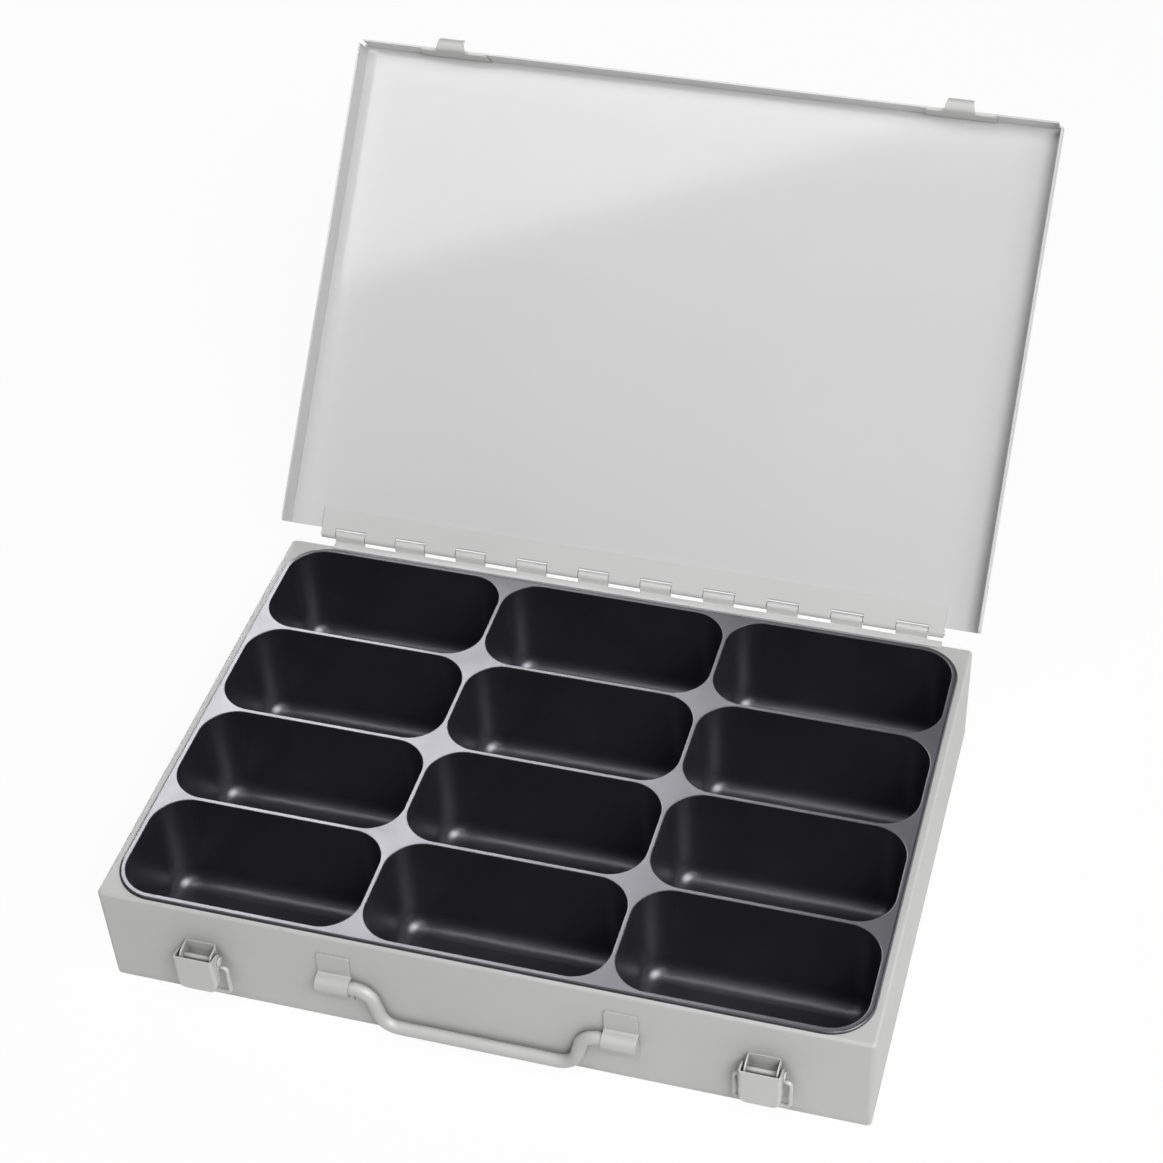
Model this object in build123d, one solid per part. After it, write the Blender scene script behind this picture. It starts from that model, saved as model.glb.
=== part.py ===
from build123d import *
import math
import os

os.makedirs("parts", exist_ok=True)

# A sheet-steel assortment case with a hinged lid, a lift-out plastic insert,
# a drop handle and two draw latches. Millimetres, +Z up, the hinge side at +Y,
# origin at the middle of the underside. The lid is stored open.

# ---- case body -------------------------------------------------------------
CASE_WIDTH = 340.0
CASE_DEPTH = 236.0
CASE_HEIGHT = 55.0
CASE_SHEET = 0.8
CASE_CORNER_RADIUS = 2.2
CASE_BEND_RADIUS = 1.6
FLANGE_SIDE = 5.0
FLANGE_FRONT = 2.7
FLANGE_REAR = 5.2

# ---- insert ----------------------------------------------------------------
INSERT_WALL = 1.0
LIP_THICKNESS = 1.2
LIP_ROUND = 1.1
LIP_OVERLAP = 1.4
LIP_CORNER_RADIUS = 19.5
LIP_RIM = 2.8
RIB_WIDTH = 2.0
RIB_EDGE_RADIUS = 0.3
COLUMNS = 3
COLUMN_EXTRA = 0.8
ROWS = 4
ROW_LESS = 0.425
COMPARTMENT_CORNER_RADIUS = 16.5
COMPARTMENT_LOW_CORNER_RADIUS = 9.5
COMPARTMENT_FLOOR = 5.0
COMPARTMENT_FLOOR_RADIUS = 8.0
COMPARTMENT_DRAFT = 3.0

# ---- hinge -----------------------------------------------------------------
HINGE_BEHIND_WALL = 3.8
HINGE_ABOVE_FLANGE = 3.7
HINGE_LEAF = 1.0
PIN_RADIUS = 1.15
RUNNING_CLEARANCE = 0.05
HINGE_SHORT_OF_CASE = 14.7
KNUCKLES = 10
LAST_KNUCKLE_INSET = 15.0
KNUCKLE_WIDTH = 15.0
KNUCKLE_GAP = 0.3
LEAF_FRONT_TO_AXIS = 6.8
LEAF_REAR_TO_AXIS = 2.8
STRIP_REACH = 12.8
STRIP_NOTCH_REACH = 3.0
CURL_END = 140.0

# ---- lid -------------------------------------------------------------------
LID_OPEN_ANGLE = 134.0
LID_SHEET = 0.8
LID_SIDE_CLEARANCE = 1.8
LID_FRONT_CLEARANCE = 1.2
LID_REAR_EDGE = 2.6
LID_FLANGE_DEPTH = 13.0
LID_BEND_RADIUS = 1.2
LID_CORNER_CUT = 2.0
LID_CUT_START = 5.0
LID_RELIEF_RADIUS = 1.4
LID_REAR_ROUND = 2.5
LID_HOLE_RADIUS = 1.2
LID_HOLE_FROM_FRONT = 13.3
LID_HOLE_DEPTH = 10.2

# ---- catch plates on the lid -------------------------------------------------
LATCH_FROM_SIDE = 45.5
CATCH_WIDTH = 34.0
CATCH_SHEET = 0.8
CATCH_TOP_GAP = 1.4
HOOK_WIDTH_ROOT = 14.3
HOOK_WIDTH_TIP = 11.7
HOOK_THROAT_RADIUS = 2.3
HOOK_SHANK = 1.7
HOOK_TIP = 0.4

# ---- latches ---------------------------------------------------------------
BRACKET_WIDTH = 14.6
BRACKET_SHEET = 0.8
BRACKET_TOP = 35.3
BRACKET_BOTTOM = 22.6
LATCH_PIVOT_OUT = 4.4
LATCH_PIVOT_HEIGHT = 29.6
LATCH_PIVOT_RADIUS = 1.5
LATCH_HEAD_RADIUS = 2.3
LATCH_HEAD_HEIGHT = 0.7
LATCH_END_PLAY = 0.1
LEVER_WIDTH = 18.0
LEVER_SHEET = 0.8
LEVER_FACE_OUT = 6.5
LEVER_TOP = 5.7
LEVER_TOE = 14.1
LEVER_BEND_RADIUS = 1.5
LEVER_TOE_RADIUS = 4.0
LEVER_BACK = 2.3
LEVER_CLEARANCE = 0.4
LOOP_RADIUS = 1.0
LOOP_PIVOT_BACK = 0.2
LOOP_PIVOT_DROP = 4.0
LOOP_HALF_WIDTH = 11.9
LOOP_LENGTH = 16.5
LOOP_END = 7.8
LOOP_SHOULDER_RADIUS = 2.0
LOOP_CORNER_RADIUS = 3.0

# ---- handle ----------------------------------------------------------------
HANDLE_RADIUS = 3.0
HANDLE_OUT = 3.3
HANDLE_HEIGHT = 28.2
HANDLE_DROP = 21.2
HANDLE_SHOULDER_IN = 15.9
HANDLE_GRIP_IN = 20.9
HANDLE_SHOULDER_RADIUS = 8.0
HANDLE_GRIP_RADIUS = 9.0
STRAP_SPACING = 126.8
STRAP_WIDTH = 15.0
STRAP_SHEET = 1.0
STRAP_CLEARANCE = 0.1
STRAP_TOP = 43.9
STRAP_BOTTOM = 15.6

# ---- derived places ----------------------------------------------------------
WALL_FRONT = -CASE_DEPTH / 2
WALL_REAR = CASE_DEPTH / 2
LATCH_SPACING = CASE_WIDTH - 2 * LATCH_FROM_SIDE
OPENING_WIDTH = CASE_WIDTH - 2 * FLANGE_SIDE
OPENING_DEPTH = CASE_DEPTH - FLANGE_FRONT - FLANGE_REAR
OPENING_Y = (FLANGE_FRONT - FLANGE_REAR) / 2
OPENING_CORNER_RADIUS = LIP_CORNER_RADIUS - LIP_OVERLAP
LIP_WIDTH = OPENING_WIDTH + 2 * LIP_OVERLAP
LIP_DEPTH = OPENING_DEPTH + 2 * LIP_OVERLAP
LIP_TOP = CASE_HEIGHT + LIP_THICKNESS
COLUMN_PITCH = OPENING_WIDTH / COLUMNS + COLUMN_EXTRA
ROW_PITCH = OPENING_DEPTH / ROWS - ROW_LESS
HINGE_Y = WALL_REAR + HINGE_BEHIND_WALL
HINGE_Z = CASE_HEIGHT + HINGE_ABOVE_FLANGE
HINGE_HALF_LENGTH = CASE_WIDTH / 2 - HINGE_SHORT_OF_CASE
KNUCKLE_PITCH = 2 * (HINGE_HALF_LENGTH - LAST_KNUCKLE_INSET) / (KNUCKLES - 1)
BASE_KNUCKLE_RADIUS = PIN_RADIUS + HINGE_LEAF
LID_KNUCKLE_RADIUS = PIN_RADIUS + RUNNING_CLEARANCE + HINGE_LEAF
PANEL_INNER = LID_KNUCKLE_RADIUS - HINGE_LEAF
FREE_EDGE = PANEL_INNER + LID_FLANGE_DEPTH
LID_INNER_HALF_WIDTH = CASE_WIDTH / 2 + LID_SIDE_CLEARANCE
LID_REACH = HINGE_Y - WALL_FRONT + LID_FRONT_CLEARANCE
LATCH_PIVOT_Y = WALL_FRONT - LATCH_PIVOT_OUT
LOOP_PIVOT_Y = LATCH_PIVOT_Y + LOOP_PIVOT_BACK
LOOP_PIVOT_Z = LATCH_PIVOT_HEIGHT - LOOP_PIVOT_DROP
HANDLE_Y = WALL_FRONT - HANDLE_OUT
HANDLE_HALF_LENGTH = (STRAP_SPACING + STRAP_WIDTH) / 2
HANDLE_SHOULDER_X = STRAP_SPACING / 2 - HANDLE_SHOULDER_IN
HANDLE_GRIP_X = STRAP_SPACING / 2 - HANDLE_GRIP_IN
SIDES = (("left", -1), ("right", 1))


def save(solid, name):
    solid.label = name
    export_step(solid, "parts/" + name + ".step")


def block(x_range, y_range, z_range):
    """A box between pairs of limits."""
    size = [b - a for a, b in (x_range, y_range, z_range)]
    middle = [(a + b) / 2 for a, b in (x_range, y_range, z_range)]
    return Pos(*middle) * Box(*size)


def rod(radius, x_range, y, z):
    """A round bar along X."""
    length = x_range[1] - x_range[0]
    middle = (x_range[0] + x_range[1]) / 2
    return Pos(middle, y, z) * Rot(0, 90, 0) * Cylinder(radius, length)


def profile_along_x(points, x_range):
    """A closed outline in the YZ plane, drawn out along X."""
    corners = [(x_range[0], y, z) for y, z in points]
    face = Face(Wire(Polyline(*corners, close=True).edges()))
    return extrude(face, amount=x_range[1] - x_range[0], dir=(1, 0, 0))


def rounded_prism(width, depth, radius, z_range, y=0.0):
    outline = Plane.XY.offset(z_range[0]) * Pos(0, y) * RectangleRounded(width, depth, radius)
    return extrude(outline, amount=z_range[1] - z_range[0], dir=(0, 0, 1))


def edges_at(solid, z):
    return solid.edges().filter_by(lambda e: abs(e.center().Z - z) < 0.001)


# ---- case body -------------------------------------------------------------
def case_body():
    """A folded box whose rim turns inward as a flat flange."""
    outer = rounded_prism(CASE_WIDTH, CASE_DEPTH, CASE_CORNER_RADIUS, (0, CASE_HEIGHT))
    outer = fillet(edges_at(outer, 0) + edges_at(outer, CASE_HEIGHT), CASE_BEND_RADIUS)
    inner = rounded_prism(
        CASE_WIDTH - 2 * CASE_SHEET,
        CASE_DEPTH - 2 * CASE_SHEET,
        CASE_CORNER_RADIUS - CASE_SHEET,
        (CASE_SHEET, CASE_HEIGHT - CASE_SHEET),
    )
    rims = edges_at(inner, CASE_SHEET) + edges_at(inner, CASE_HEIGHT - CASE_SHEET)
    inner = fillet(rims, CASE_BEND_RADIUS - CASE_SHEET)
    opening = rounded_prism(
        OPENING_WIDTH,
        OPENING_DEPTH,
        OPENING_CORNER_RADIUS,
        (CASE_HEIGHT / 2, CASE_HEIGHT + 1),
        OPENING_Y,
    )
    return outer - inner - opening


# ---- insert ----------------------------------------------------------------
def compartment(x_range, y_range, grow):
    """One drafted cup, or the same cup grown by a wall. Its corners tighten downwards."""
    width = x_range[1] - x_range[0] + 2 * grow
    depth = y_range[1] - y_range[0] + 2 * grow
    height = LIP_TOP - COMPARTMENT_FLOOR + grow
    inset = 2 * height * math.tan(math.radians(COMPARTMENT_DRAFT))
    mouth = RectangleRounded(width, depth, COMPARTMENT_CORNER_RADIUS + grow)
    foot = RectangleRounded(width - inset, depth - inset, COMPARTMENT_LOW_CORNER_RADIUS + grow)
    middle = Pos((x_range[0] + x_range[1]) / 2, (y_range[0] + y_range[1]) / 2)
    high = Plane.XY.offset(LIP_TOP) * middle * mouth
    low = Plane.XY.offset(LIP_TOP - height) * middle * foot
    cup = loft([high.face(), low.face()], ruled=True)
    return fillet(edges_at(cup, COMPARTMENT_FLOOR - grow), COMPARTMENT_FLOOR_RADIUS + grow)


def compartment_ranges():
    """The limits of each column and each row of openings."""
    half_rib = RIB_WIDTH / 2
    side = LIP_WIDTH / 2 - LIP_RIM
    middle = COLUMN_PITCH / 2
    columns = [(-side, -middle - half_rib), (-middle + half_rib, middle - half_rib)]
    columns.append((middle + half_rib, side))
    end = LIP_DEPTH / 2 - LIP_RIM
    walls = [OPENING_Y + (k - ROWS / 2) * ROW_PITCH for k in range(1, ROWS)]
    starts = [OPENING_Y - end] + [w + half_rib for w in walls]
    stops = [w - half_rib for w in walls] + [OPENING_Y + end]
    return columns, list(zip(starts, stops))


def insert_tray():
    """Formed sheet: a round-edged lip and ribs with twelve cups hanging from them."""
    columns, rows = compartment_ranges()
    lip = rounded_prism(
        LIP_WIDTH, LIP_DEPTH, LIP_CORNER_RADIUS, (CASE_HEIGHT, LIP_TOP), OPENING_Y
    )
    lip = fillet(edges_at(lip, LIP_TOP), LIP_ROUND)
    cells = [(c, r) for c in columns for r in rows]
    solid = lip + [compartment(c, r, INSERT_WALL) for c, r in cells]
    solid = solid - [compartment(c, r, 0.0) for c, r in cells]
    top = solid.faces().filter_by(Axis.Z).sort_by(Axis.Z)[-1]
    mouths = [edge for wire in top.inner_wires() for edge in wire.edges()]
    return fillet(mouths, RIB_EDGE_RADIUS)


# ---- hinge -----------------------------------------------------------------
def knuckle_centres():
    first = -KNUCKLE_PITCH * (KNUCKLES - 1) / 2
    return [first + k * KNUCKLE_PITCH for k in range(KNUCKLES)]


def lid_knuckle_ranges():
    """The spans along the pin that the knuckles of the case leave free."""
    reach = KNUCKLE_WIDTH / 2 + KNUCKLE_GAP
    centres = knuckle_centres()
    starts = [-HINGE_HALF_LENGTH] + [c + reach for c in centres]
    stops = [c - reach for c in centres] + [HINGE_HALF_LENGTH]
    return list(zip(starts, stops))


def ring_part(inner, outer, start, sweep, x_range):
    """Part of a tube around the hinge axis, angles counted from +Y towards +Z."""
    arc = [math.radians(start + sweep * k / 2) for k in range(3)]

    def at(radius, angle):
        y = HINGE_Y + radius * math.cos(angle)
        return (x_range[0], y, HINGE_Z + radius * math.sin(angle))

    outside = ThreePointArc(*[at(outer, a) for a in arc])
    inside = ThreePointArc(*[at(inner, a) for a in reversed(arc)])
    ends = [
        Line(at(outer, arc[2]), at(inner, arc[2])),
        Line(at(inner, arc[0]), at(outer, arc[0])),
    ]
    face = Face(Wire([outside.edge(), ends[0].edge(), inside.edge(), ends[1].edge()]))
    return extrude(face, amount=x_range[1] - x_range[0], dir=(1, 0, 0))


def hinge_leaf_base():
    """The leaf on the flange, with tongues rolled over the pin."""
    centres = knuckle_centres()
    half = KNUCKLE_WIDTH / 2
    floor = (CASE_HEIGHT, CASE_HEIGHT + HINGE_LEAF)
    front = HINGE_Y - LEAF_FRONT_TO_AXIS
    rear = HINGE_Y - LEAF_REAR_TO_AXIS
    solid = block((centres[0] - half, HINGE_HALF_LENGTH), (front, rear), floor)
    tongue_front = HINGE_Y - BASE_KNUCKLE_RADIUS
    tongue_rear = HINGE_Y - PIN_RADIUS
    for centre in centres:
        span = (centre - half, centre + half)
        foot = block(span, (rear, tongue_rear), floor)
        riser = block(span, (tongue_front, tongue_rear), (CASE_HEIGHT, HINGE_Z))
        tongue = foot + riser
        heel = tongue.edges().filter_by(Axis.X).sort_by(Axis.Z)[:2].sort_by(Axis.Y)[-1]
        tongue = fillet(heel, HINGE_LEAF * 0.9)
        roll = ring_part(PIN_RADIUS, BASE_KNUCKLE_RADIUS, 180, -250, span)
        solid = solid + tongue + roll
    return solid


def hinge_pin():
    """The wire through all the knuckles, with rounded ends."""
    reach = HINGE_HALF_LENGTH + 0.6
    solid = rod(PIN_RADIUS, (-reach, reach), HINGE_Y, HINGE_Z)
    return fillet(solid.edges().filter_by(GeomType.CIRCLE), PIN_RADIUS * 0.5)


# The lid's pieces are drawn closed, then turned about the hinge axis.
def opened(solid):
    turn = Pos(0, HINGE_Y, HINGE_Z) * Rot(-LID_OPEN_ANGLE, 0, 0) * Pos(0, -HINGE_Y, -HINGE_Z)
    return turn * solid


def lid_y(reach):
    return HINGE_Y - reach


def lid_z(depth):
    return HINGE_Z - depth


def hinge_leaf_lid():
    """The long strip under the panel, rolled around the pin between the tongues."""
    roll_inner = PIN_RADIUS + RUNNING_CLEARANCE
    z_range = (lid_z(LID_KNUCKLE_RADIUS), lid_z(PANEL_INNER))
    whole = (-HINGE_HALF_LENGTH, HINGE_HALF_LENGTH)
    solid = block(whole, (lid_y(STRIP_REACH), lid_y(STRIP_NOTCH_REACH)), z_range)
    for span in lid_knuckle_ranges():
        solid = solid + block(span, (lid_y(STRIP_NOTCH_REACH), HINGE_Y), z_range)
        sweep = 90 + CURL_END
        solid = solid + ring_part(roll_inner, LID_KNUCKLE_RADIUS, -90, sweep, span)
    return opened(solid)


# ---- lid -------------------------------------------------------------------
def lid_pan():
    """A shallow pan: panel, two side flanges and a front flange."""
    half = LID_INNER_HALF_WIDTH
    out = half + LID_SHEET
    front = lid_y(LID_REACH + LID_SHEET)
    rear = lid_y(LID_REAR_EDGE)
    low = lid_z(FREE_EDGE)
    shell = block((-out, out), (front, rear), (low, lid_z(PANEL_INNER - LID_SHEET)))
    shell = fillet(lid_bends(shell, rear), LID_BEND_RADIUS)
    hollow = block((-half, half), (lid_y(LID_REACH), rear + 5), (low - 5, lid_z(PANEL_INNER)))
    hollow = fillet(lid_bends(hollow, rear + 5), LID_BEND_RADIUS - LID_SHEET)
    solid = shell - hollow
    tips = solid.edges().filter_by(Axis.X)
    tips = tips.filter_by(lambda e: e.center().Y > rear - 0.01 and e.center().Z < low + 0.01)
    solid = fillet(tips, LID_REAR_ROUND)
    for _, side in SIDES:
        solid = solid - lid_corner_cut(side)
    hole = Pos(-half, lid_y(LID_REACH - LID_HOLE_FROM_FRONT), lid_z(PANEL_INNER + LID_HOLE_DEPTH))
    solid = solid - hole * Rot(0, 90, 0) * Cylinder(LID_HOLE_RADIUS, 4)
    return opened(solid)


def lid_bends(solid, rear):
    """The three bends around the panel and the two upright front corners."""
    middle = solid.center()
    around = solid.edges().filter_by(lambda e: e.center().Y < rear - 0.01)
    ridge = around.filter_by(lambda e: e.center().Z > middle.Z + 0.01)
    upright = around.filter_by(Axis.Z).filter_by(lambda e: e.center().Y < middle.Y)
    return ridge + upright


def lid_corner_cut(side):
    """The flanges part near their free edges, with a round relief where the slot ends."""
    corner_x = side * (LID_INNER_HALF_WIDTH + LID_SHEET)
    corner_y = lid_y(LID_REACH + LID_SHEET)
    start = lid_z(PANEL_INNER + LID_CUT_START)
    x_range = (corner_x - LID_CORNER_CUT, corner_x + LID_CORNER_CUT)
    y_range = (corner_y - LID_CORNER_CUT, corner_y + LID_CORNER_CUT)
    slot = block(x_range, y_range, (lid_z(FREE_EDGE) - 1, start))
    relief = Pos(corner_x, corner_y, start) * Rot(0, 0, side * 45) * Rot(90, 0, 0)
    return slot + relief * Cylinder(LID_RELIEF_RADIUS, 3 * LID_CORNER_CUT)


def catch_plate(side):
    """A plate inside the front flange whose tab hooks outward below it."""
    centre = side * LATCH_SPACING / 2
    back = lid_y(LID_REACH)
    inside = back + CATCH_SHEET
    low = lid_z(FREE_EDGE)
    high = lid_z(PANEL_INNER + CATCH_TOP_GAP)
    half = CATCH_WIDTH / 2
    plate = block((centre - half, centre + half), (back, inside), (low, high))
    lower = plate.edges().filter_by(Axis.Y).filter_by(lambda e: abs(e.center().Z - low) < 0.01)
    plate = fillet(lower, 2.0)
    return opened(plate + hook(centre, back, inside, low))


def hook(centre, back, inside, low):
    """The tab: a shank, a half-round throat and a short upturned tip."""
    half = HOOK_WIDTH_ROOT / 2
    span = (centre - half, centre + half)
    bend_y = back - HOOK_THROAT_RADIUS
    bend_z = low - HOOK_SHANK
    outer = HOOK_THROAT_RADIUS + CATCH_SHEET
    shank = block(span, (back, inside), (bend_z, low + 2.0))
    ring = rod(outer, span, bend_y, bend_z) - rod(HOOK_THROAT_RADIUS, span, bend_y, bend_z)
    throat = ring & block(span, (bend_y - outer, bend_y + outer), (bend_z - outer, bend_z))
    tip_y = (bend_y - outer, bend_y - HOOK_THROAT_RADIUS)
    tip = block(span, tip_y, (bend_z, bend_z + HOOK_TIP))
    narrow = HOOK_WIDTH_TIP / 2
    outline = [(-half, inside), (half, inside), (half, back), (narrow, tip_y[0])]
    outline = outline + [(-narrow, tip_y[0]), (-half, back)]
    corners = [(centre + x, y, low - 10) for x, y in outline]
    face = Face(Wire(Polyline(*corners, close=True).edges()))
    return (shank + throat + tip) & extrude(face, amount=20, dir=(0, 0, 1))


# ---- latches ---------------------------------------------------------------
def latch_bracket(side):
    """A channel on the front wall whose cheeks are rounded about the pivot."""
    centre = side * LATCH_SPACING / 2
    half = BRACKET_WIDTH / 2
    reach = LEVER_FACE_OUT - LEVER_SHEET - LEVER_CLEARANCE
    front = LATCH_PIVOT_Y - reach
    solid = block((centre - half, centre + half), (front, WALL_FRONT), (BRACKET_BOTTOM, BRACKET_TOP))
    corners = solid.edges().filter_by(Axis.Z).filter_by(lambda e: e.center().Y > WALL_FRONT - 0.01)
    solid = fillet(corners, BRACKET_SHEET * 1.5)
    inner = half - BRACKET_SHEET
    hollow = block(
        (centre - inner, centre + inner),
        (front - 1, WALL_FRONT - BRACKET_SHEET),
        (BRACKET_BOTTOM - 1, BRACKET_TOP + 1),
    )
    solid = solid - hollow
    wide = (centre - half - 1, centre + half + 1)
    keep = rod(reach, wide, LATCH_PIVOT_Y, LATCH_PIVOT_HEIGHT)
    keep = keep + block(wide, (LATCH_PIVOT_Y, WALL_FRONT), (BRACKET_BOTTOM, BRACKET_TOP))
    drop = (BRACKET_BOTTOM + 2.0, LATCH_PIVOT_HEIGHT)
    keep = keep + block(wide, (LATCH_PIVOT_Y - reach + 2.0, LATCH_PIVOT_Y), drop)
    top_cut = block(
        wide,
        (front - 1, WALL_FRONT - BRACKET_SHEET),
        (LATCH_PIVOT_HEIGHT + reach, BRACKET_TOP + 1),
    )
    solid = (solid & keep) - top_cut
    return solid - rod(LATCH_PIVOT_RADIUS, wide, LATCH_PIVOT_Y, LATCH_PIVOT_HEIGHT)


def latch_pivot(side):
    """The rivet through bracket and lever, with a domed head at each end."""
    centre = side * LATCH_SPACING / 2
    seat = LEVER_WIDTH / 2 + LATCH_END_PLAY
    reach = seat + LATCH_HEAD_HEIGHT
    solid = rod(LATCH_PIVOT_RADIUS, (centre - seat, centre + seat), LATCH_PIVOT_Y, LATCH_PIVOT_HEIGHT)
    for end in (-1, 1):
        span = sorted((centre + end * seat, centre + end * reach))
        head = rod(LATCH_HEAD_RADIUS, span, LATCH_PIVOT_Y, LATCH_PIVOT_HEIGHT)
        rim = head.edges().filter_by(lambda e: abs(e.center().X - centre) > reach - 0.01)
        solid = solid + fillet(rim, LATCH_HEAD_HEIGHT * 0.8)
    return solid


def lever_outline():
    """The side view of the lever, counted from its pivot."""
    face_y = -LEVER_FACE_OUT
    return [
        (face_y, LEVER_TOP),
        (face_y + 1.6, LEVER_TOP),
        (0.6, 4.0),
        (LEVER_BACK, 1.5),
        (LEVER_BACK, -LOOP_PIVOT_DROP - 1.0),
        (-2.6, -LEVER_TOE + 2.4),
        (-4.4, -LEVER_TOE),
        (face_y, -LEVER_TOE),
    ]


def latch_lever(side):
    """A pressed channel: face plate and two cheeks, holed for rivet and loop."""
    centre = side * LATCH_SPACING / 2
    half = LEVER_WIDTH / 2
    face_y = LATCH_PIVOT_Y - LEVER_FACE_OUT
    back_y = LATCH_PIVOT_Y + LEVER_BACK
    z_range = (LATCH_PIVOT_HEIGHT - LEVER_TOE, LATCH_PIVOT_HEIGHT + LEVER_TOP)
    solid = block((centre - half, centre + half), (face_y, back_y), z_range)
    bends = solid.edges().filter_by(Axis.Z).filter_by(lambda e: e.center().Y < face_y + 0.01)
    solid = fillet(bends, LEVER_BEND_RADIUS)
    inner = half - LEVER_SHEET
    hollow = block(
        (centre - inner, centre + inner),
        (face_y + LEVER_SHEET, back_y + 1),
        (z_range[0] - 1, z_range[1] + 1),
    )
    folds = hollow.edges().filter_by(Axis.Z)
    folds = folds.filter_by(lambda e: e.center().Y < face_y + LEVER_SHEET + 0.01)
    solid = solid - fillet(folds, LEVER_BEND_RADIUS - LEVER_SHEET)
    wide = (centre - half - 1, centre + half + 1)
    outline = [(LATCH_PIVOT_Y + y, LATCH_PIVOT_HEIGHT + z) for y, z in lever_outline()]
    side_view = profile_along_x(outline, wide)
    side_view = fillet(side_view.edges().filter_by(Axis.X).sort_by(Axis.Y)[-3:], 1.0)
    solid = solid & side_view & toe_view(centre, half, face_y, back_y, z_range)
    play = LATCH_PIVOT_RADIUS + RUNNING_CLEARANCE
    solid = solid - rod(play, wide, LATCH_PIVOT_Y, LATCH_PIVOT_HEIGHT)
    eye = LOOP_RADIUS + RUNNING_CLEARANCE
    return solid - rod(eye, wide, LOOP_PIVOT_Y, LOOP_PIVOT_Z)


def toe_view(centre, half, face_y, back_y, z_range):
    """The front view of the lever, with rounded corners at the toe."""
    solid = block((centre - half, centre + half), (face_y - 1, back_y + 1), z_range)
    toes = solid.edges().filter_by(Axis.Y)
    toes = toes.filter_by(lambda e: e.center().Z < z_range[0] + 0.01)
    return fillet(toes, LEVER_TOE_RADIUS)


def bent_wire(points, radii, radius):
    """A round wire along straight runs with an arc at each inner corner."""
    path = Polyline(*points)
    path = Wire(path.edges())
    for place, bend in radii:
        near = [v for v in path.vertices() if (v.center() - Vector(*place)).length < 0.01]
        path = path.fillet_2d(bend, near)
    start = Plane(origin=path @ 0, z_dir=path % 0)
    return sweep(start * Circle(radius), path=path)


def latch_loop(side):
    """The wire bail that hangs from the lever and pulls on the hook."""
    centre = side * LATCH_SPACING / 2
    low = LOOP_PIVOT_Z - LOOP_LENGTH
    half = LOOP_HALF_WIDTH
    offsets = [(-LOOP_END, LOOP_PIVOT_Z), (-half, LOOP_PIVOT_Z), (-half, low)]
    offsets = offsets + [(half, low), (half, LOOP_PIVOT_Z), (LOOP_END, LOOP_PIVOT_Z)]
    points = [(centre + x, LOOP_PIVOT_Y, z) for x, z in offsets]
    bends = (LOOP_SHOULDER_RADIUS, LOOP_CORNER_RADIUS, LOOP_CORNER_RADIUS, LOOP_SHOULDER_RADIUS)
    return bent_wire(points, list(zip(points[1:-1], bends)), LOOP_RADIUS)


# ---- handle ----------------------------------------------------------------
def handle_wire():
    """The drop handle, turning in its two straps."""
    low = HANDLE_HEIGHT - HANDLE_DROP
    half = [
        (HANDLE_HALF_LENGTH, HANDLE_HEIGHT),
        (HANDLE_SHOULDER_X, HANDLE_HEIGHT),
        (HANDLE_GRIP_X, low),
    ]
    offsets = [(-x, z) for x, z in half] + [(x, z) for x, z in reversed(half)]
    points = [(x, HANDLE_Y, z) for x, z in offsets]
    bends = (HANDLE_SHOULDER_RADIUS, HANDLE_GRIP_RADIUS, HANDLE_GRIP_RADIUS, HANDLE_SHOULDER_RADIUS)
    return bent_wire(points, list(zip(points[1:-1], bends)), HANDLE_RADIUS)


def handle_strap(side):
    """A strap formed over the handle's wire, flat against the wall above and below."""
    centre = side * STRAP_SPACING / 2
    half = STRAP_WIDTH / 2
    span = (centre - half, centre + half)
    inner = HANDLE_RADIUS + STRAP_CLEARANCE
    outer = inner + STRAP_SHEET
    ring = rod(outer, span, HANDLE_Y, HANDLE_HEIGHT) - rod(inner, span, HANDLE_Y, HANDLE_HEIGHT)
    bulge = ring & block(
        span,
        (HANDLE_Y - outer, HANDLE_Y),
        (HANDLE_HEIGHT - outer, HANDLE_HEIGHT + outer),
    )
    legs_y = (HANDLE_Y, WALL_FRONT)
    plate_y = (WALL_FRONT - STRAP_SHEET, WALL_FRONT)
    upper = (HANDLE_HEIGHT + inner, HANDLE_HEIGHT + outer)
    lower = (HANDLE_HEIGHT - outer, HANDLE_HEIGHT - inner)
    solid = bulge + block(span, legs_y, upper) + block(span, legs_y, lower)
    solid = solid + block(span, plate_y, (upper[0], STRAP_TOP))
    solid = solid + block(span, plate_y, (STRAP_BOTTOM, lower[1]))
    bends = solid.edges().filter_by(Axis.X)
    bends = bends.filter_by(lambda e: abs(e.center().Y - plate_y[0]) < 0.01)
    inside = bends.filter_by(lambda e: lower[0] - 0.01 < e.center().Z < upper[1] + 0.01)
    solid = fillet(inside.filter_by(lambda e: strap_root(e, lower, upper)), 0.8)
    tabs = solid.edges().filter_by(Axis.Y)
    tabs = tabs.filter_by(lambda e: e.center().Z > STRAP_TOP - 0.01 or e.center().Z < STRAP_BOTTOM + 0.01)
    return fillet(tabs, 1.5)


def strap_root(edge, lower, upper):
    """True at the two inner bends where the strap leaves the wall."""
    z = edge.center().Z
    return abs(z - upper[1]) < 0.01 or abs(z - lower[0]) < 0.01


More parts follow.
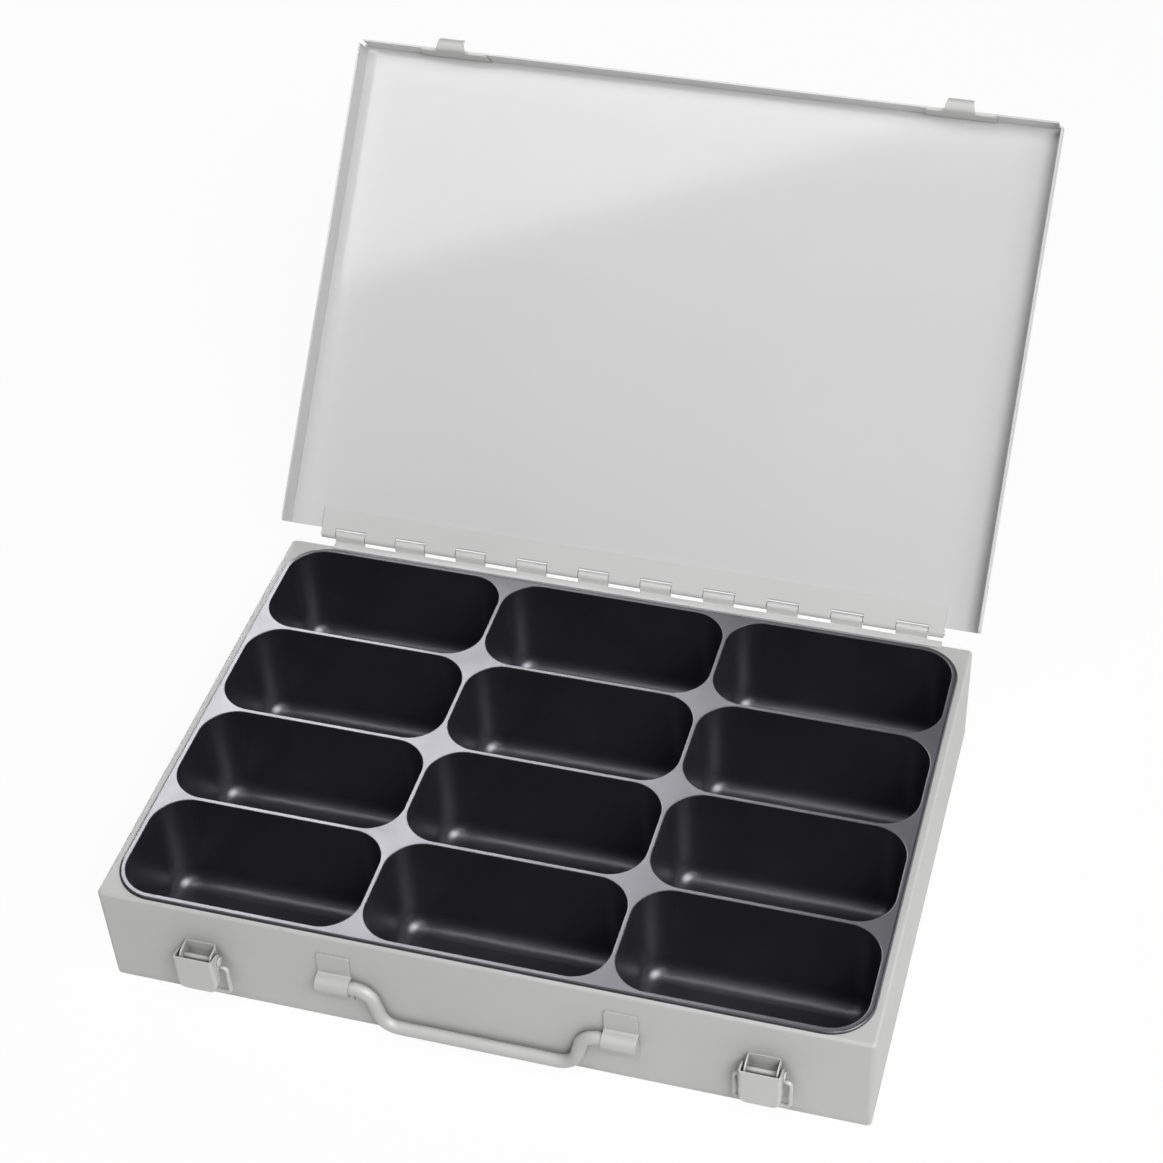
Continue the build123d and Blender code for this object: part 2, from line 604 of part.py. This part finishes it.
save(case_body(), "case_body")
save(insert_tray(), "insert_tray")
save(hinge_leaf_base(), "hinge_leaf_base")
save(hinge_pin(), "hinge_pin")
save(hinge_leaf_lid(), "hinge_leaf_lid")
save(lid_pan(), "lid_pan")
save(handle_wire(), "handle_wire")
for name, side in SIDES:
    save(catch_plate(side), "catch_plate_" + name)
    save(latch_bracket(side), "latch_bracket_" + name)
    save(latch_pivot(side), "latch_pivot_" + name)
    save(latch_lever(side), "latch_lever_" + name)
    save(latch_loop(side), "latch_loop_" + name)
    save(handle_strap(side), "handle_strap_" + name)
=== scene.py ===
import math

import bmesh
import bpy
from mathutils import Matrix, Vector


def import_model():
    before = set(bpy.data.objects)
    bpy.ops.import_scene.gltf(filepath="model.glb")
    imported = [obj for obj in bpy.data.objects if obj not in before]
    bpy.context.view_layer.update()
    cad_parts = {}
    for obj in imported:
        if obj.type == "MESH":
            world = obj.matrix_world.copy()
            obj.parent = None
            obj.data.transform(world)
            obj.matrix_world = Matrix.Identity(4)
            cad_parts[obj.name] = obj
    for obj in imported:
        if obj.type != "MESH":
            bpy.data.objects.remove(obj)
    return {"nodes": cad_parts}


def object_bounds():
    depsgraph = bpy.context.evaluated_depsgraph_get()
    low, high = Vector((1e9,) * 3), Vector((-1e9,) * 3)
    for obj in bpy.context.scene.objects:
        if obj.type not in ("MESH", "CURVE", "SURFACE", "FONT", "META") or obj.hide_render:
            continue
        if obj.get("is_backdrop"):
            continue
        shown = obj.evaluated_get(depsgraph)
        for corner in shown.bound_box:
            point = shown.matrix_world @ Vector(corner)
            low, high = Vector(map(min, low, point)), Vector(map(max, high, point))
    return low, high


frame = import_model()
CAD_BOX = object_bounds()
NODES = frame["nodes"]

# The camera: where it stands and looks, in metres.
CAMERA_PLACE = (0.25245, -0.71212, 0.85329)
CAMERA_RIGHT = (0.96593, 0.25775, -0.02338)
CAMERA_DOWN = (0.16029, -0.66673, -0.72786)
CAMERA_FORWARD = (-0.2032, 0.69931, -0.68533)
CAMERA_CLIP = (0.05, 50.0)
# Its lens and the width of its film, in millimetres, and its shift in film widths.
CAMERA_LENS = 75.638
CAMERA_FILM = 36.0
CAMERA_SHIFT = (-0.05581, 0.03235)

# The light. A level of 1 shows a colour as written on a face turned to the lamp.
# Each lamp has its direction, distance, size, level and what shows it. A "matt" lamp
# leaves no highlight. A "gloss" box only draws highlights, and leaves out the lid,
# whose coat would mirror it whole.
CASE_MIDDLE = (0.0, 0.05, 0.08)
LAMPS = (
    ("key", (0.73, -0.25, 0.63), 2.0, (0.9, 0.9), 0.17, "matt"),
    ("right_rear", (0.84, 0.54, 0.09), 2.2, (1.4, 0.5), 0.30, "all"),
    ("left_rear", (-0.62, 0.77, 0.09), 2.2, (1.4, 0.5), 0.60, "all"),
    ("front_high", (0.42, -0.63, 0.72), 2.2, (0.9, 0.7), 0.62, "matt"),
    ("front_gloss", (0.42, -0.63, 0.72), 2.2, (0.9, 0.7), 0.62, "gloss"),
    ("key_gloss", (0.73, -0.25, 0.63), 2.0, (0.8, 0.8), 2.25, "gloss"),
    ("rim_gloss", (-0.44, 0.62, 0.72), 2.2, (1.25, 0.95), 1.15, "gloss"),
)
LID_PIECES = ("lid_pan", "hinge_leaf_lid", "catch_plate_left", "catch_plate_right")
# The box over the left side, whose front edge shows as a sheen across the lid.
OVERHEAD_PLACE = (-0.626, -0.797, 2.0)
OVERHEAD_SIZE = (2.0, 0.6)
OVERHEAD_TURN = 24.8
OVERHEAD_LEVEL = 0.31

# The floor: half its width in metres, its grey, and how much of it a camera ray sees as
# plain white. The rest is its lit surface, which keeps the shadow.
FLOOR_HALF = 6.0
FLOOR_GREY = 0.86
FLOOR_ROUGHNESS = 0.9
FLOOR_SHINE = 0.1
FLOOR_WHITE = 0.94
# The world lights the case a little. A camera ray sees it about as white as the far floor.
WORLD_LEVEL = 0.03
WORLD_WHITE = 0.945

# The finishes. Scales are noise cells per metre. Reaches, radii and depths are metres.
NOISE_LOW, NOISE_HIGH = 0.3, 0.7
SAMPLES = 6
# Painted shade: how far the darkening in recesses reaches, and the openness over which it fades out.
PAINTED_SHADE_REACH = 0.009
PAINTED_SHADE_RANGE = (0.15, 0.75)
ENAMEL_EDGE_RADIUS = 0.00025
ENAMEL_DRIFT_SCALE = 9.0
ENAMEL_SPECK_SCALE = 420.0
ENAMEL_SPECK_STRENGTH = 0.12
ENAMEL_GLOSS_SCALE = 35.0
ENAMEL_PEEL_SCALE, ENAMEL_PEEL_DEPTH, ENAMEL_PEEL_STRENGTH = 650.0, 0.0003, 0.08
ENAMEL_WAVE_SCALE, ENAMEL_WAVE_DEPTH, ENAMEL_WAVE_STRENGTH = 14.0, 0.004, 0.03
WIRE_EDGE_RADIUS = 0.0002
WIRE_LINE_SCALES = (2500.0, 300.0, 300.0)
WIRE_LINE_DEPTH, WIRE_LINE_STRENGTH = 0.0001, 0.15
PLASTIC_EDGE_RADIUS = 0.0005
PLASTIC_TONE_SCALE = 22.0
PLASTIC_SPECK_SCALE = 900.0
PLASTIC_SPECK_STRENGTH = 0.4
PLASTIC_GLOSS_SCALE = 60.0
PLASTIC_GRAIN_SCALE, PLASTIC_GRAIN_DEPTH, PLASTIC_GRAIN_STRENGTH = 1100.0, 0.0002, 0.05
PLASTIC_WAVE_SCALE, PLASTIC_WAVE_DEPTH, PLASTIC_WAVE_STRENGTH = 40.0, 0.002, 0.04


# ---- node helpers ------------------------------------------------------------
def new_material(name):
    mat = bpy.data.materials.new(name)
    mat.use_nodes = True
    tree = mat.node_tree
    tree.nodes.clear()
    out = tree.nodes.new("ShaderNodeOutputMaterial")
    bsdf = tree.nodes.new("ShaderNodeBsdfPrincipled")
    tree.links.new(bsdf.outputs[0], out.inputs[0])
    return mat, tree, bsdf


def node(tree, kind, links=(), **values):
    """A node with its socket values and its incoming links."""
    made = tree.nodes.new(kind)
    for key, value in values.items():
        made.inputs[key].default_value = value
    for key, source in links:
        tree.links.new(source, made.inputs[key])
    return made


def coords(tree):
    return tree.nodes.new("ShaderNodeTexCoord").outputs["Object"]


def noise(tree, where, scale, detail=3.0, roughness=0.55):
    links = [("Vector", where)]
    made = node(tree, "ShaderNodeTexNoise", links, Scale=scale, Detail=detail, Roughness=roughness)
    return made.outputs["Fac"]


def remap(tree, source, low, high, to_low, to_high):
    made = node(tree, "ShaderNodeMapRange", [("Value", source)])
    made.inputs["From Min"].default_value = low
    made.inputs["From Max"].default_value = high
    made.inputs["To Min"].default_value = to_low
    made.inputs["To Max"].default_value = to_high
    return made.outputs["Result"]


def spread(tree, source, to_low, to_high):
    """The middle range of a noise, stretched between two values."""
    return remap(tree, source, NOISE_LOW, NOISE_HIGH, to_low, to_high)


def blend_colour(tree, fac, a, b):
    made = tree.nodes.new("ShaderNodeMix")
    made.data_type = "RGBA"
    tree.links.new(fac, made.inputs[0])
    for socket, value in ((made.inputs[6], a), (made.inputs[7], b)):
        if isinstance(value, tuple):
            socket.default_value = (*value, 1.0)
        else:
            tree.links.new(value, socket)
    return made.outputs[2]


def bump(tree, height, distance, strength, under):
    """The normal of a rough skin laid over the normal under it."""
    links = [("Height", height), ("Normal", under)]
    made = node(tree, "ShaderNodeBump", links, Distance=distance, Strength=strength)
    return made.outputs["Normal"]


def soft_edges(tree, radius):
    """Normals that round the sharp edges of sheet and wire."""
    made = node(tree, "ShaderNodeBevel", Radius=radius)
    made.samples = SAMPLES
    return made.outputs["Normal"]


def recesses(tree, reach):
    """How open the surface is: 1 in the open, lower in corners and recesses, where shade falls."""
    made = node(tree, "ShaderNodeAmbientOcclusion", Distance=reach)
    made.samples = SAMPLES
    return made.outputs["AO"]


# ---- materials -----------------------------------------------------------------
def paint(name, colour, rough=0.42, coat=0.15, coat_rough=0.30, drift=0.025, painted_shade=0.35, shine=0.5):
    """Stoved enamel: a faint orange peel, slow tone drift, and painted shade that darkens its
    recesses.
    """
    mat, tree, bsdf = new_material(name)
    where = coords(tree)
    dark = tuple(c * (1 - drift) for c in colour)
    light = tuple(min(1.0, c * (1 + drift)) for c in colour)
    # The colour darkened as painted shade, used where the surface is closed in.
    shaded_colour = tuple(c * (1 - painted_shade) for c in colour)

    slow = noise(tree, where, ENAMEL_DRIFT_SCALE, 2.0)
    fine = noise(tree, where, ENAMEL_SPECK_SCALE, 4.0, 0.6)
    tone = blend_colour(tree, spread(tree, slow, 0.0, 1.0), dark, light)
    specks = remap(tree, fine, 0.62, 0.8, 0.0, ENAMEL_SPECK_STRENGTH)
    clean = blend_colour(tree, specks, tone, dark)
    open_face = remap(tree, recesses(tree, PAINTED_SHADE_REACH), *PAINTED_SHADE_RANGE, 0.0, 1.0)
    tree.links.new(blend_colour(tree, open_face, shaded_colour, clean), bsdf.inputs["Base Color"])

    gloss = spread(tree, noise(tree, where, ENAMEL_GLOSS_SCALE), rough - 0.03, rough + 0.04)
    tree.links.new(gloss, bsdf.inputs["Roughness"])

    peel = noise(tree, where, ENAMEL_PEEL_SCALE, 2.0)
    waves = noise(tree, where, ENAMEL_WAVE_SCALE, 1.0)
    edges = soft_edges(tree, ENAMEL_EDGE_RADIUS)
    skin = bump(tree, peel, ENAMEL_PEEL_DEPTH, ENAMEL_PEEL_STRENGTH, edges)
    normal = bump(tree, waves, ENAMEL_WAVE_DEPTH, ENAMEL_WAVE_STRENGTH, skin)
    tree.links.new(normal, bsdf.inputs["Normal"])

    bsdf.inputs["Specular IOR Level"].default_value = shine
    bsdf.inputs["Coat Weight"].default_value = coat
    bsdf.inputs["Coat Roughness"].default_value = coat_rough
    return mat


def drawn_steel(name):
    """Bare drawn wire with fine lines around it."""
    mat, tree, bsdf = new_material(name)
    stretch = node(tree, "ShaderNodeMapping", [("Vector", coords(tree))], Scale=WIRE_LINE_SCALES)
    lines = noise(tree, stretch.outputs[0], 1.0)
    tone = blend_colour(tree, lines, (0.36, 0.36, 0.36), (0.58, 0.58, 0.57))
    tree.links.new(tone, bsdf.inputs["Base Color"])
    tree.links.new(spread(tree, lines, 0.25, 0.42), bsdf.inputs["Roughness"])

    edges = soft_edges(tree, WIRE_EDGE_RADIUS)
    normal = bump(tree, lines, WIRE_LINE_DEPTH, WIRE_LINE_STRENGTH, edges)
    tree.links.new(normal, bsdf.inputs["Normal"])

    bsdf.inputs["Metallic"].default_value = 1.0
    return mat


def formed_plastic(name):
    """Black vacuum-formed sheet: soft gloss, faint grain and a trace of pale dust."""
    mat, tree, bsdf = new_material(name)
    where = coords(tree)
    slow = noise(tree, where, PLASTIC_TONE_SCALE)
    fine = noise(tree, where, PLASTIC_SPECK_SCALE, 3.0, 0.7)
    tone = blend_colour(tree, slow, (0.009, 0.009, 0.012), (0.015, 0.014, 0.019))
    specks = remap(tree, fine, 0.68, 0.78, 0.0, PLASTIC_SPECK_STRENGTH)
    tree.links.new(blend_colour(tree, specks, tone, (0.035, 0.035, 0.04)), bsdf.inputs["Base Color"])

    gloss = spread(tree, noise(tree, where, PLASTIC_GLOSS_SCALE, 4.0), 0.33, 0.39)
    tree.links.new(gloss, bsdf.inputs["Roughness"])

    fine_grain = noise(tree, where, PLASTIC_GRAIN_SCALE, 2.0)
    waves = noise(tree, where, PLASTIC_WAVE_SCALE, 2.0)
    edges = soft_edges(tree, PLASTIC_EDGE_RADIUS)
    grain = bump(tree, fine_grain, PLASTIC_GRAIN_DEPTH, PLASTIC_GRAIN_STRENGTH, edges)
    normal = bump(tree, waves, PLASTIC_WAVE_DEPTH, PLASTIC_WAVE_STRENGTH, grain)
    tree.links.new(normal, bsdf.inputs["Normal"])

    bsdf.inputs["IOR"].default_value = 1.58
    bsdf.inputs["Specular IOR Level"].default_value = 0.65
    bsdf.inputs["Specular Tint"].default_value = (0.93, 0.92, 1.0, 1.0)
    return mat


# ---- dressing ------------------------------------------------------------------
BODY_PAINT = paint("body_paint", (0.52, 0.52, 0.51), rough=0.60, coat=0.0, shine=0.35)
# The lid, the hinge leaves and the catch plates wear the body's enamel, but their greys are painted
# lighter, as painted light for the stronger light on the lid.
LID_PAINT_LIGHTENED = paint("lid_paint_lightened", (0.685,) * 3, coat=0.85, coat_rough=0.08, drift=0.012, painted_shade=0.05)
HINGE_PAINT_LIGHTENED = paint("hinge_paint", (0.655, 0.655, 0.65), rough=0.46)
CATCH_PAINT_LIGHTENED = paint("catch_paint_lightened", (0.65, 0.65, 0.64), rough=0.48)
# The latches' recesses get the darkest painted shade, standing in for their shadowed insides.
LATCH_PAINT = paint("latch_paint", (0.55, 0.55, 0.535), rough=0.50, painted_shade=0.8)
# The handle's grey is painted darker than the body's same enamel, as painted shade.
HANDLE_PAINT_DARKENED = paint("handle_paint", (0.49, 0.49, 0.475), rough=0.55)
PIN_STEEL = drawn_steel("pin_steel")
INSERT_PLASTIC = formed_plastic("insert_plastic")

FINISH = {
    "case_body": BODY_PAINT,
    "lid_pan": LID_PAINT_LIGHTENED,
    "hinge_leaf_base": HINGE_PAINT_LIGHTENED,
    "hinge_leaf_lid": HINGE_PAINT_LIGHTENED,
    "hinge_pin": PIN_STEEL,
    "insert_tray": INSERT_PLASTIC,
    "handle_wire": HANDLE_PAINT_DARKENED,
}
for side in ("left", "right"):
    FINISH["catch_plate_" + side] = CATCH_PAINT_LIGHTENED
    FINISH["latch_bracket_" + side] = LATCH_PAINT
    FINISH["latch_pivot_" + side] = LATCH_PAINT
    FINISH["latch_lever_" + side] = LATCH_PAINT
    FINISH["latch_loop_" + side] = LATCH_PAINT
    FINISH["handle_strap_" + side] = HANDLE_PAINT_DARKENED

for name, finish in FINISH.items():
    mesh = NODES[name].data
    mesh.materials.clear()
    mesh.materials.append(finish)


# ---- floor, world, lamps, camera -------------------------------------------------
def add_object(name, data):
    made = bpy.data.objects.new(name, data)
    bpy.context.collection.objects.link(made)
    return made


def floor():
    mesh = bpy.data.meshes.new("floor")
    shape = bmesh.new()
    bmesh.ops.create_grid(shape, x_segments=2, y_segments=2, size=FLOOR_HALF)
    shape.to_mesh(mesh)
    shape.free()
    made = add_object("floor", mesh)

    mat, tree, bsdf = new_material("floor_white")
    bsdf.inputs["Base Color"].default_value = (FLOOR_GREY, FLOOR_GREY, FLOOR_GREY, 1.0)
    bsdf.inputs["Roughness"].default_value = FLOOR_ROUGHNESS
    bsdf.inputs["Specular IOR Level"].default_value = FLOOR_SHINE
    glow = node(tree, "ShaderNodeEmission", Strength=1.0)
    path = tree.nodes.new("ShaderNodeLightPath")
    weight = node(tree, "ShaderNodeMath", [(0, path.outputs["Is Camera Ray"])])
    weight.operation = "MULTIPLY"
    weight.inputs[1].default_value = FLOOR_WHITE
    mixed = tree.nodes.new("ShaderNodeMixShader")
    tree.links.new(weight.outputs[0], mixed.inputs[0])
    tree.links.new(bsdf.outputs[0], mixed.inputs[1])
    tree.links.new(glow.outputs[0], mixed.inputs[2])
    out = [n for n in tree.nodes if n.type == "OUTPUT_MATERIAL"][0]
    tree.links.new(mixed.outputs[0], out.inputs[0])
    mesh.materials.append(mat)
    made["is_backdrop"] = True


def world():
    made = bpy.data.worlds.new("studio")
    made.use_nodes = True
    tree = made.node_tree
    tree.nodes.clear()
    out = tree.nodes.new("ShaderNodeOutputWorld")
    white = (1.0, 1.0, 1.0, 1.0)
    light = node(tree, "ShaderNodeBackground", Color=white, Strength=WORLD_LEVEL)
    backdrop = node(tree, "ShaderNodeBackground", Color=white, Strength=WORLD_WHITE)
    path = tree.nodes.new("ShaderNodeLightPath")
    mixed = tree.nodes.new("ShaderNodeMixShader")
    tree.links.new(path.outputs["Is Camera Ray"], mixed.inputs[0])
    tree.links.new(light.outputs[0], mixed.inputs[1])
    tree.links.new(backdrop.outputs[0], mixed.inputs[2])
    tree.links.new(mixed.outputs[0], out.inputs[0])
    bpy.context.scene.world = made


def lamp(name, place, size, level):
    """A soft box that faces the case, at a level where 1 shows a colour as written."""
    data = bpy.data.lights.new(name, "AREA")
    data.shape = "RECTANGLE"
    data.size, data.size_y = size
    aim = Vector(CASE_MIDDLE) - Vector(place)
    data.energy = level * math.pi**2 * aim.length_squared
    made = add_object(name, data)
    made.location = place
    made.rotation_euler = aim.to_track_quat("-Z", "Y").to_euler()
    return made


def place_towards(direction, distance):
    return Vector(CASE_MIDDLE) + Vector(direction).normalized() * distance


def glossy_pieces():
    """The pieces that the gloss boxes light: all but the lid's."""
    made = bpy.data.collections.new("glossy_pieces")
    for name, piece in NODES.items():
        if name not in LID_PIECES:
            made.objects.link(piece)
    return made


def lamps():
    lit_by_gloss = glossy_pieces()
    for name, direction, distance, size, level, shown_by in LAMPS:
        made = lamp(name, place_towards(direction, distance), size, level)
        made.visible_glossy = shown_by != "matt"
        made.visible_diffuse = shown_by != "gloss"
        if shown_by == "gloss":
            made.light_linking.receiver_collection = lit_by_gloss
    overhead = lamp("overhead", OVERHEAD_PLACE, OVERHEAD_SIZE, OVERHEAD_LEVEL)
    overhead.rotation_euler = (0.0, 0.0, math.radians(OVERHEAD_TURN))


def camera():
    data = bpy.data.cameras.new("camera")
    data.lens = CAMERA_LENS
    data.sensor_width = CAMERA_FILM
    data.shift_x, data.shift_y = CAMERA_SHIFT
    data.clip_start, data.clip_end = CAMERA_CLIP
    made = add_object("camera", data)
    right, down, forward = (Vector(v) for v in (CAMERA_RIGHT, CAMERA_DOWN, CAMERA_FORWARD))
    turn = Matrix((right, -down, -forward)).transposed().to_4x4()
    made.matrix_world = Matrix.Translation(CAMERA_PLACE) @ turn
    bpy.context.scene.camera = made


floor()
world()
camera()
lamps()
bpy.context.scene.view_settings.view_transform = "Standard"


def plain(value):
    """Nested vectors as plain lists of numbers."""
    if hasattr(value, "__len__"):
        return [plain(v) for v in value]
    return round(float(value), 6)


{"cad": plain(CAD_BOX), "visual": plain(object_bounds())}
